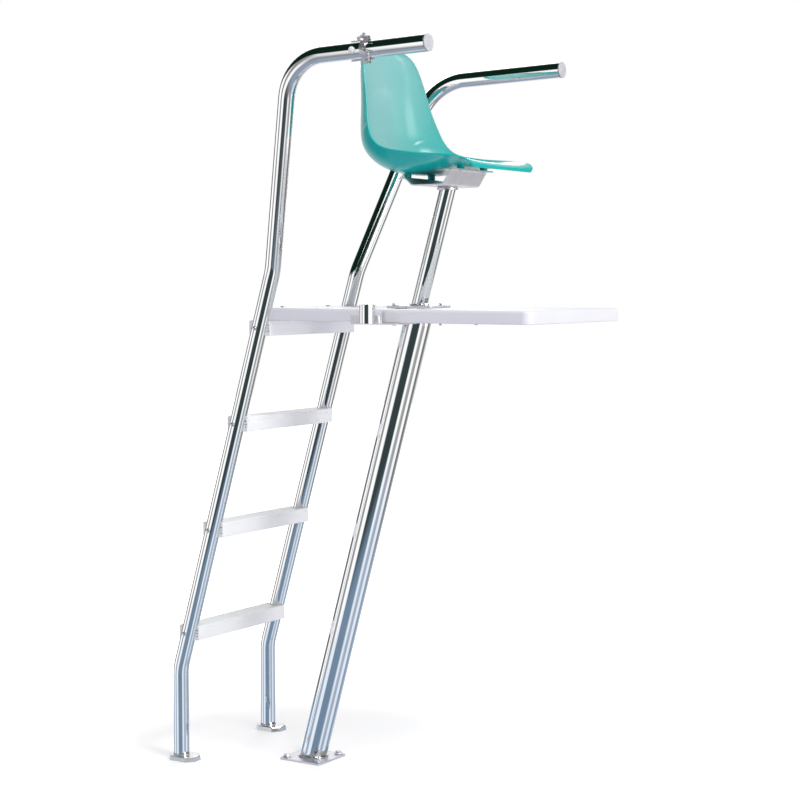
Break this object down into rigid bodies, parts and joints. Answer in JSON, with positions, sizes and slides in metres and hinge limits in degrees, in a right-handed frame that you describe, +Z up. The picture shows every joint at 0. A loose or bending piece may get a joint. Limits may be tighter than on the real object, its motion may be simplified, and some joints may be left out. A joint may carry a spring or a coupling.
{
  "type": "lifeguard chair",
  "caption": "Raised lifeguard chair: leaning post and bent tube rails carry treads, a step board, a footboard and a swivelling moulded seat.",
  "frame": {"origin": "middle of the base plate's underside, on the ground", "axes": "+Z up, the sitter faces -Y, +X is the sitter's left"},
  "size_m": [0.846, 1.299, 2.1985],
  "materials": {
    "polished_tube": "polished stainless steel",
    "satin_plate": "satin stainless steel",
    "steel_fastening": "plain stainless steel",
    "white_tread": "moulded, grained top",
    "white_board": "matt, eased edges",
    "grey_cap": "matt",
    "teal_shell": "gloss moulded shell"
  },
  "bodies": {
    "frame": {"base_plate": "satin_plate", "anchor_bolt_1": "steel_fastening", "anchor_bolt_2": "steel_fastening", "anchor_bolt_3": "steel_fastening", "anchor_bolt_4": "steel_fastening", "post": "polished_tube", "under_plate": "satin_plate", "top_plate": "satin_plate", "seat_post": "polished_tube", "side_rail_right": "polished_tube", "arm_cap_right": "grey_cap", "foot_cover_right": "polished_tube", "side_rail_left": "polished_tube", "arm_cap_left": "grey_cap", "foot_cover_left": "polished_tube", "tread_1": "white_tread", "tread_1_bolt_right": "steel_fastening", "tread_1_bolt_left": "steel_fastening", "tread_2": "white_tread", "tread_2_bolt_right": "steel_fastening", "tread_2_bolt_left": "steel_fastening", "tread_3": "white_tread", "tread_3_bolt_right": "steel_fastening", "tread_3_bolt_left": "steel_fastening", "tread_4": "white_tread", "tread_4_bolt_right": "steel_fastening", "tread_4_bolt_left": "steel_fastening", "step_board": "white_board", "step_board_screw_right": "steel_fastening", "step_board_screw_left": "steel_fastening", "footboard": "white_board", "tie_bolt_1": "steel_fastening", "tie_nut_1": "steel_fastening", "tie_bolt_2": "steel_fastening", "tie_nut_2": "steel_fastening", "tie_bolt_3": "steel_fastening", "tie_nut_3": "steel_fastening", "tie_bolt_4": "steel_fastening", "tie_nut_4": "steel_fastening", "under_screw_1": "steel_fastening", "under_screw_2": "steel_fastening", "under_screw_3": "steel_fastening", "under_screw_4": "steel_fastening", "umbrella_sleeve": "polished_tube", "sleeve_bracket": "satin_plate", "clamp_saddle": "steel_fastening", "clamp_band": "steel_fastening", "clamp_lower_bolt": "steel_fastening", "clamp_cap_screw": "white_board", "swivel_hub": "steel_fastening", "swivel_washer": "grey_cap", "swivel_nut": "steel_fastening"},
    "seat": {"seat_bracket": "satin_plate", "seat_shell": "teal_shell", "seat_bolt_1": "steel_fastening", "seat_bolt_2": "steel_fastening", "seat_bolt_3": "steel_fastening", "seat_bolt_4": "steel_fastening"},
    "wing_screw": {"clamp_wing_screw": "steel_fastening"}
  },
  "joints": [
    {"name": "seat_swivel", "type": "hinge", "parent": "frame", "child": "seat", "pos_m": [0, -0.48998, 1.7764], "axis": [0, 0, 1], "continuous": true},
    {"name": "clamp_screw_turn", "type": "hinge", "parent": "frame", "child": "wing_screw", "pos_m": [-0.393, -0.46389, 2.16725], "axis": [-1, 0, 0], "continuous": true}
  ]
}
